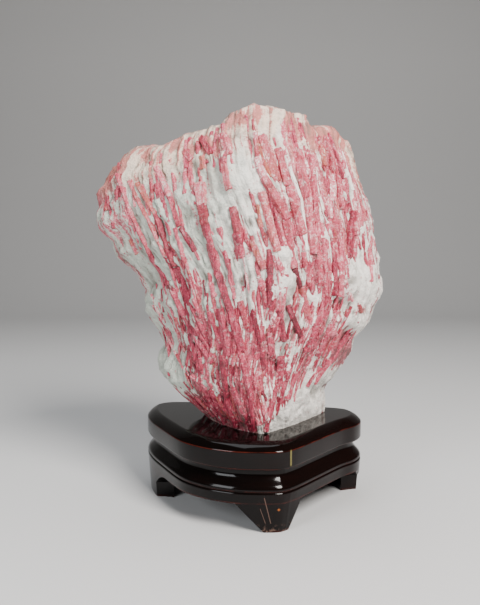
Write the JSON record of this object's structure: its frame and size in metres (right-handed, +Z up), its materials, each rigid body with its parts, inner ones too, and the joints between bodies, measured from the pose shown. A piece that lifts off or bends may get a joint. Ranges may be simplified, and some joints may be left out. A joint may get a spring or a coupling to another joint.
{
  "type": "mineral specimen on display stand",
  "caption": "Fan of pink tourmaline crystals in white quartz matrix, standing on a three-footed wooden display stand with polished dark lacquer.",
  "frame": {"origin": "Middle of the whole object's bounding box, on the level that the stand rests on.", "axes": "+Z is up, from the stand to the top of the fan. The front face of the fan looks along -Y, and +X is to the right of a viewer in front."},
  "size_m": [0.2367, 0.1531, 0.3258],
  "materials": {
    "tourmaline_in_quartz": "satin",
    "polished_lacquer": "polished",
    "moulded_lacquer": "gloss"
  },
  "bodies": {
    "root": {"specimen": "tourmaline_in_quartz", "stand_top_board": "polished_lacquer", "stand_base": "moulded_lacquer"}
  },
  "joints": []
}
